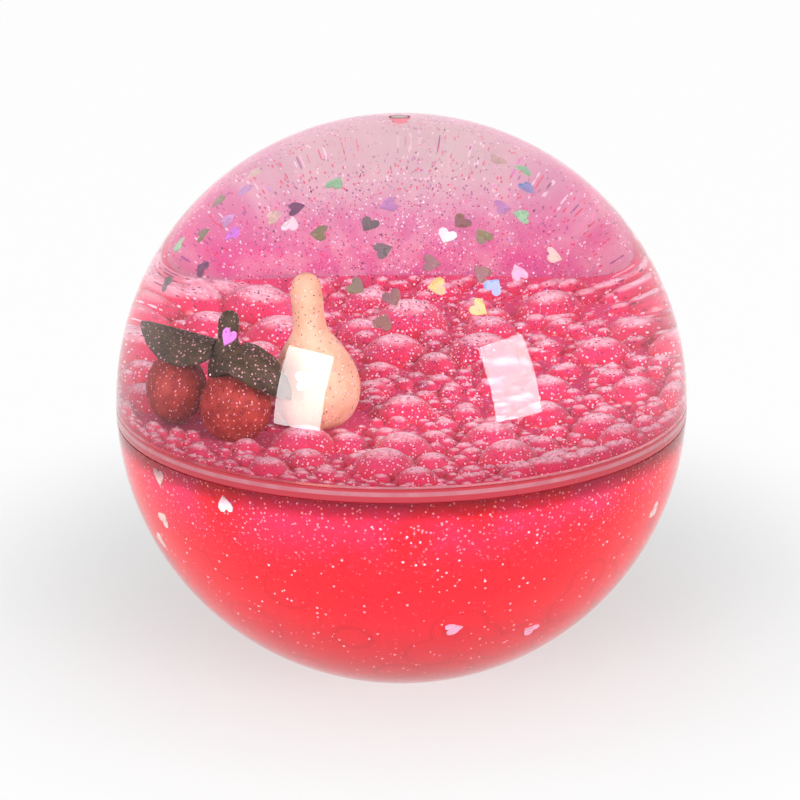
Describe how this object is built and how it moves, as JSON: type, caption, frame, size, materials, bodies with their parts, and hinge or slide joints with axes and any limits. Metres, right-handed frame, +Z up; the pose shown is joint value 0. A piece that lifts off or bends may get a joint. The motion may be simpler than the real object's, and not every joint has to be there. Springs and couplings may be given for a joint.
{
  "type": "glitter ball",
  "caption": "Clear liquid-filled ball in two half shells, with a red layer of droplets, drifting glitter and foil hearts, and cherry and pear floats that bob inside.",
  "frame": {"origin": "centre of the ball", "axes": "+Z up through the fill plug, -Y towards the front, +X to the right seen from the front"},
  "size_m": [0.1, 0.1, 0.1],
  "materials": {
    "clear_shell": "clear polished plastic, faintly pink",
    "seam_band": "translucent welded band",
    "fill_plug": "moulded plug, flush",
    "red_liquid": "glossy red liquid and droplets",
    "cherry": "painted moulding",
    "leaf": "painted moulding",
    "pear": "painted moulding",
    "foil_pearl": "iridescent foil film",
    "foil_silver": "iridescent foil film",
    "foil_lilac": "iridescent foil film",
    "foil_violet": "iridescent foil film",
    "foil_plum": "iridescent foil film",
    "foil_mint": "iridescent foil film",
    "foil_olive": "iridescent foil film",
    "foil_slate": "iridescent foil film",
    "foil_bronze": "iridescent foil film",
    "foil_blue": "iridescent foil film",
    "foil_gold": "iridescent foil film",
    "foil_pink": "iridescent foil film"
  },
  "bodies": {
    "ball": {"upper_shell": "clear_shell", "lower_shell": "clear_shell", "seam_band": "seam_band", "fill_plug": "fill_plug"},
    "red_layer": {"red_liquid": "red_liquid", "sunk_heart_pearl_1": "foil_pearl", "sunk_heart_pearl_2": "foil_pearl", "sunk_heart_pearl_3": "foil_pearl", "sunk_heart_pearl_4": "foil_pearl", "sunk_heart_pink_1": "foil_pink", "sunk_heart_pink_2": "foil_pink", "sunk_heart_pink_3": "foil_pink", "sunk_heart_silver_1": "foil_silver", "sunk_heart_silver_2": "foil_silver"},
    "clear_layer": {"heart_blue_1": "foil_blue", "heart_blue_2": "foil_blue", "heart_bronze_1": "foil_bronze", "heart_bronze_2": "foil_bronze", "heart_bronze_3": "foil_bronze", "heart_bronze_4": "foil_bronze", "heart_bronze_5": "foil_bronze", "heart_gold_1": "foil_gold", "heart_gold_2": "foil_gold", "heart_lilac_1": "foil_lilac", "heart_lilac_2": "foil_lilac", "heart_lilac_3": "foil_lilac", "heart_lilac_4": "foil_lilac", "heart_mint_1": "foil_mint", "heart_mint_2": "foil_mint", "heart_mint_3": "foil_mint", "heart_mint_4": "foil_mint", "heart_olive_1": "foil_olive", "heart_olive_2": "foil_olive", "heart_olive_3": "foil_olive", "heart_olive_4": "foil_olive", "heart_olive_5": "foil_olive", "heart_pearl_1": "foil_pearl", "heart_pearl_2": "foil_pearl", "heart_pearl_3": "foil_pearl", "heart_pearl_4": "foil_pearl", "heart_pink_1": "foil_pink", "heart_plum_1": "foil_plum", "heart_plum_2": "foil_plum", "heart_plum_3": "foil_plum", "heart_silver_1": "foil_silver", "heart_silver_2": "foil_silver", "heart_silver_3": "foil_silver", "heart_silver_4": "foil_silver", "heart_slate_1": "foil_slate", "heart_slate_2": "foil_slate", "heart_slate_3": "foil_slate", "heart_violet_1": "foil_violet", "heart_violet_2": "foil_violet"},
    "cherry_float": {"cherry_left": "cherry", "cherry_right": "cherry", "leaf_left": "leaf", "leaf_right": "leaf", "cherry_stalk": "leaf"},
    "pear_float": {"pear": "pear"}
  },
  "joints": [
    {"name": "red_swirl", "type": "hinge", "parent": "ball", "child": "red_layer", "pos_m": [0, 0, 0], "axis": [0, 0, 1], "continuous": true},
    {"name": "clear_swirl", "type": "hinge", "parent": "ball", "child": "clear_layer", "pos_m": [0, 0, 0], "axis": [0, 0, 1], "continuous": true},
    {"name": "cherry_bob", "type": "slide", "parent": "red_layer", "child": "cherry_float", "axis": [0, 0, 1], "range_m": [0, 0.005]},
    {"name": "pear_bob", "type": "slide", "parent": "red_layer", "child": "pear_float", "axis": [0, 0, 1], "range_m": [0, 0.008]}
  ]
}
